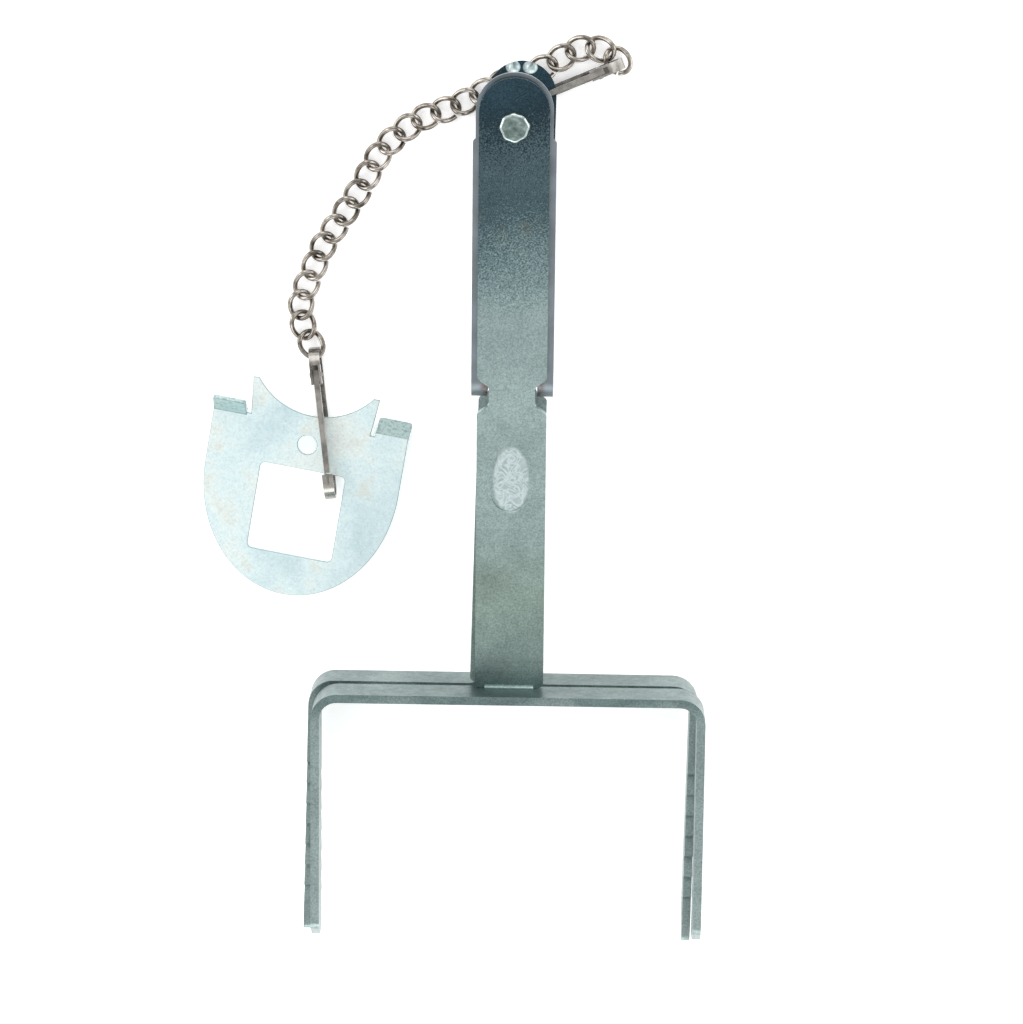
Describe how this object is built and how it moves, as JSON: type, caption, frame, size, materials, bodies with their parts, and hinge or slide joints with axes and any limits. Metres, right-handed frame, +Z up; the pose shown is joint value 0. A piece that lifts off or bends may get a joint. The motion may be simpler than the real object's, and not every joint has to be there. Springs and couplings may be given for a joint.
{
  "type": "scissor mole trap",
  "caption": "Scissor trap with two toothed U jaws on sprung steel levers, and a shield-shaped trigger plate on a chain with snap hooks.",
  "frame": {"origin": "middle of the bottom of everything, on the surface it lies on", "axes": "+X across the jaws, +Y from the jaws to the heads of the levers, +Z up from the surface it lies on"},
  "size_m": [0.1192, 0.2142, 0.0426],
  "materials": {
    "zinc_plated_steel": "zinc plated, bright, finely speckled",
    "spring_steel": "matt grey spring steel",
    "rivet_steel": "zinc plated, hammered",
    "chain_nickel": "nickel plated wire",
    "hook_nickel": "nickel plated strip",
    "trigger_zinc": "pale blue passivated zinc"
  },
  "bodies": {
    "rear_lever": {"rear_lever": "zinc_plated_steel", "rear_rivet": "rivet_steel", "leaf_spring": "spring_steel"},
    "front_lever": {"front_lever": "zinc_plated_steel", "front_rivet": "rivet_steel"},
    "upper_hook": {"upper_hook_body": "hook_nickel", "upper_hook_pin": "hook_nickel"},
    "upper_gate": {"upper_hook_gate": "hook_nickel", "upper_hook_gate_spring": "hook_nickel"},
    "chain_1": {"chain_link_01": "chain_nickel", "chain_link_02": "chain_nickel", "chain_link_03": "chain_nickel", "chain_link_04": "chain_nickel"},
    "chain_2": {"chain_link_05": "chain_nickel", "chain_link_06": "chain_nickel", "chain_link_07": "chain_nickel", "chain_link_08": "chain_nickel"},
    "chain_3": {"chain_link_09": "chain_nickel", "chain_link_10": "chain_nickel", "chain_link_11": "chain_nickel", "chain_link_12": "chain_nickel"},
    "chain_4": {"chain_link_13": "chain_nickel", "chain_link_14": "chain_nickel", "chain_link_15": "chain_nickel", "chain_link_16": "chain_nickel"},
    "chain_5": {"chain_link_17": "chain_nickel", "chain_link_18": "chain_nickel", "chain_link_19": "chain_nickel", "chain_link_20": "chain_nickel"},
    "chain_6": {"chain_link_21": "chain_nickel", "chain_link_22": "chain_nickel", "chain_link_23": "chain_nickel", "chain_link_24": "chain_nickel"},
    "lower_hook": {"lower_hook_body": "hook_nickel", "lower_hook_pin": "hook_nickel"},
    "lower_gate": {"lower_hook_gate": "hook_nickel", "lower_hook_gate_spring": "hook_nickel"},
    "trigger_plate": {"trigger_plate": "trigger_zinc"}
  },
  "joints": [
    {"name": "squeeze", "type": "hinge", "parent": "rear_lever", "child": "front_lever", "pos_m": [0.0136, 0.02607, 0.01843], "axis": [-1, 0, 0], "range_deg": [0, 18], "stiffness_Nm_per_rad": 2.5, "springref_deg": -6.88, "deforming": ["leaf_spring"]},
    {"name": "upper_hook_swing", "type": "hinge", "parent": "rear_lever", "child": "upper_hook", "pos_m": [0.01028, 0.08903, 0.00006], "axis": [0, 0, 1], "range_deg": [-10, 0]},
    {"name": "upper_gate_opens", "type": "hinge", "parent": "upper_hook", "child": "upper_gate", "pos_m": [0.03267, 0.09847, 0.00736], "axis": [0.3888, -0.9213, 0], "range_deg": [0, 2.3], "stiffness_Nm_per_rad": 0.02, "springref_deg": -11.46},
    {"name": "chain_swing_1", "type": "hinge", "parent": "upper_hook", "child": "chain_1", "pos_m": [0.0387, 0.09941, 0.00153], "axis": [0, 0, 1], "range_deg": [-10, 0]},
    {"name": "chain_swing_2", "type": "hinge", "parent": "chain_1", "child": "chain_2", "pos_m": [0.02176, 0.10022, 0.00153], "axis": [0, 0, 1], "range_deg": [-12, 0]},
    {"name": "chain_swing_3", "type": "hinge", "parent": "chain_2", "child": "chain_3", "pos_m": [0.00363, 0.09236, 0.00153], "axis": [0, 0, 1], "range_deg": [-15, 0]},
    {"name": "chain_swing_4", "type": "hinge", "parent": "chain_3", "child": "chain_4", "pos_m": [-0.01391, 0.08351, 0.00153], "axis": [0, 0, 1], "range_deg": [-15, 0]},
    {"name": "chain_swing_5", "type": "hinge", "parent": "chain_4", "child": "chain_5", "pos_m": [-0.02501, 0.06735, 0.00153], "axis": [0, 0, 1], "range_deg": [-18, 0]},
    {"name": "chain_swing_6", "type": "hinge", "parent": "chain_5", "child": "chain_6", "pos_m": [-0.03438, 0.05, 0.00153], "axis": [0, 0, 1], "range_deg": [-18, 2]},
    {"name": "lower_hook_swing", "type": "hinge", "parent": "chain_6", "child": "lower_hook", "pos_m": [-0.03285, 0.03161, 0.00153], "axis": [0, 0, 1], "range_deg": [-5, 4]},
    {"name": "lower_gate_opens", "type": "hinge", "parent": "lower_hook", "child": "lower_gate", "pos_m": [-0.03269, 0.02715, 0.00736], "axis": [0.9928, 0.1196, 0], "range_deg": [0, 4], "stiffness_Nm_per_rad": 0.02, "springref_deg": -11.46},
    {"name": "plate_swing", "type": "hinge", "parent": "lower_hook", "child": "trigger_plate", "pos_m": [-0.02915, -0.0022, 0.00006], "axis": [0, 0, 1], "range_deg": [-6, 6]}
  ]
}
